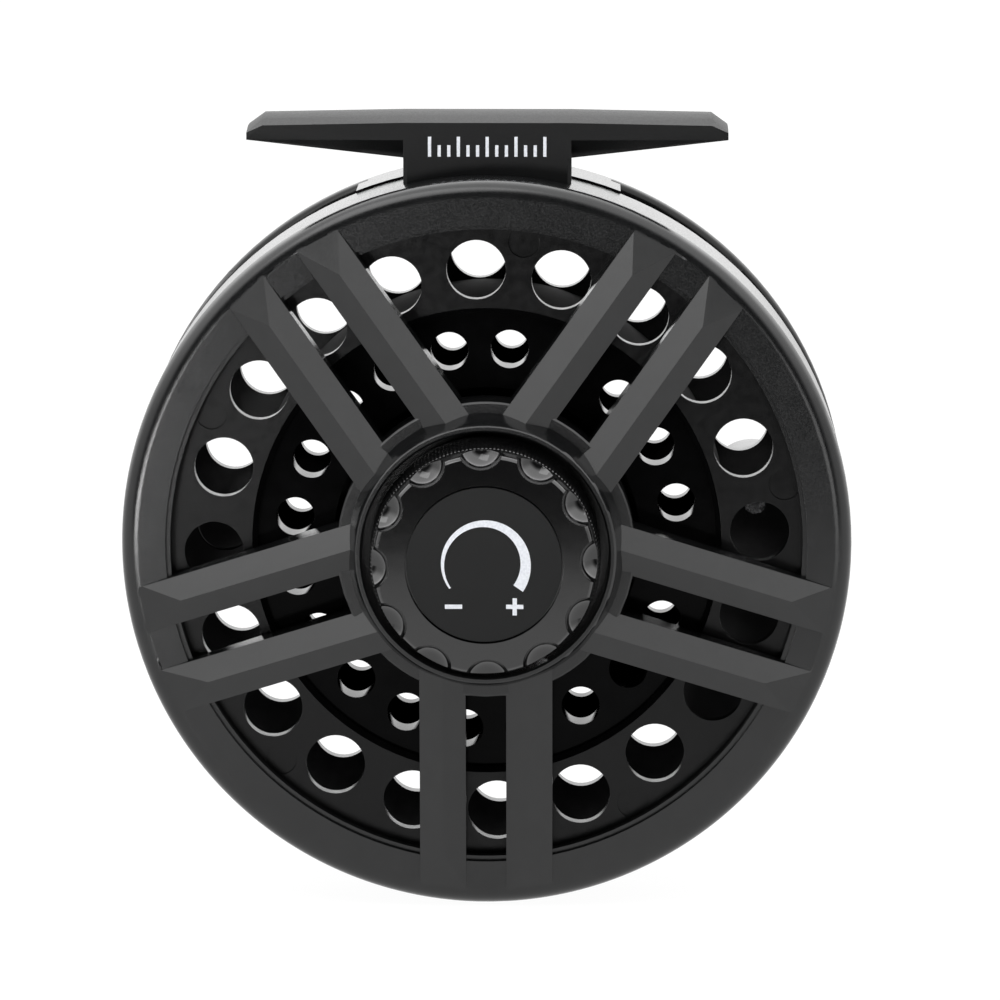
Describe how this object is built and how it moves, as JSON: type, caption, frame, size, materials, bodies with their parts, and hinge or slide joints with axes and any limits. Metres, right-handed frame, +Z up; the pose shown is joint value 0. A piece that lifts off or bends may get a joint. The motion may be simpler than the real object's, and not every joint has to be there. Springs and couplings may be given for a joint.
{
  "type": "fly reel",
  "caption": "Fly fishing reel with a ribbed moulded frame and foot, a holed large-arbor spool with handle, and a scooped drag knob in the back.",
  "frame": {"origin": "middle of the top of the reel foot, where the foot lies against the rod", "axes": "+X along the foot and the rod, to the right as seen from the drag knob side; +Y from the drag knob side to the handle side, along the spool's axis; +Z up out of the foot"},
  "size_m": [0.0952, 0.0707, 0.1029],
  "materials": {
    "frame_black": "satin moulded, fine grain",
    "foot_black": "satin moulded",
    "spool_black": "satin moulded",
    "knob_black": "polished",
    "badge_black": "matt",
    "inner_black": "satin",
    "friction": "woven carbon, matt",
    "steel": "turned",
    "spring_steel": "bright",
    "brass": "turned"
  },
  "bodies": {
    "frame": {"frame": "frame_black", "reel_foot": "foot_black", "foot_screws": "steel", "friction_washer": "friction", "click_leaf": "spring_steel", "click_leaf_screw": "steel", "pawl_post": "steel", "pawl_spring": "spring_steel", "spring_washers": "spring_steel"},
    "spindle": {"spindle": "steel", "spindle_clip": "spring_steel", "thrust_washer": "brass", "knob_retaining_screw": "steel"},
    "drag_knob": {"drag_knob": "knob_black", "knob_nut": "brass", "knob_badge": "badge_black"},
    "click_pawl": {"click_pawl": "brass"},
    "spool": {"drag_rotor": "steel", "one_way_bearing": "steel", "drive_hub": "inner_black", "spool": "spool_black", "spool_bushing": "brass", "click_gear": "inner_black", "counterweight": "spool_black", "handle_post": "steel", "handle_washer": "steel", "hub_cap": "knob_black", "cap_screws": "steel", "latch_spring": "spring_steel"},
    "release_latch": {"release_latch": "inner_black"},
    "handle": {"handle_knob": "knob_black"}
  },
  "joints": [
    {"name": "spool_spin", "type": "hinge", "parent": "frame", "child": "spool", "pos_m": [0, 0.0025, -0.05535], "axis": [0, 1, 0], "continuous": true},
    {"name": "handle_spin", "type": "hinge", "parent": "spool", "child": "handle", "pos_m": [0.03557, 0.02725, -0.05398], "axis": [0, 1, 0], "continuous": true},
    {"name": "drag_turn", "type": "hinge", "parent": "frame", "child": "drag_knob", "pos_m": [0, -0.0277, -0.05535], "axis": [0, 1, 0], "range_deg": [0, 270]},
    {"name": "drag_draw", "type": "slide", "parent": "frame", "child": "spindle", "axis": [0, -1, 0], "range_m": [0, 0.0003]},
    {"name": "latch_slide", "type": "slide", "parent": "spool", "child": "release_latch", "axis": [1, 0, 0], "range_m": [0, 0.0014], "stiffness_N_per_m": 300, "springref_m": -0.001},
    {"name": "pawl_rock", "type": "hinge", "parent": "frame", "child": "click_pawl", "pos_m": [-0.00449, -0.00635, -0.07211], "axis": [0, 1, 0], "range_deg": [-8, 8], "stiffness_Nm_per_rad": 0.002}
  ],
  "couplings": [
    {"joint": "drag_turn", "follows": "drag_draw", "rad_per_m": 15708}
  ]
}
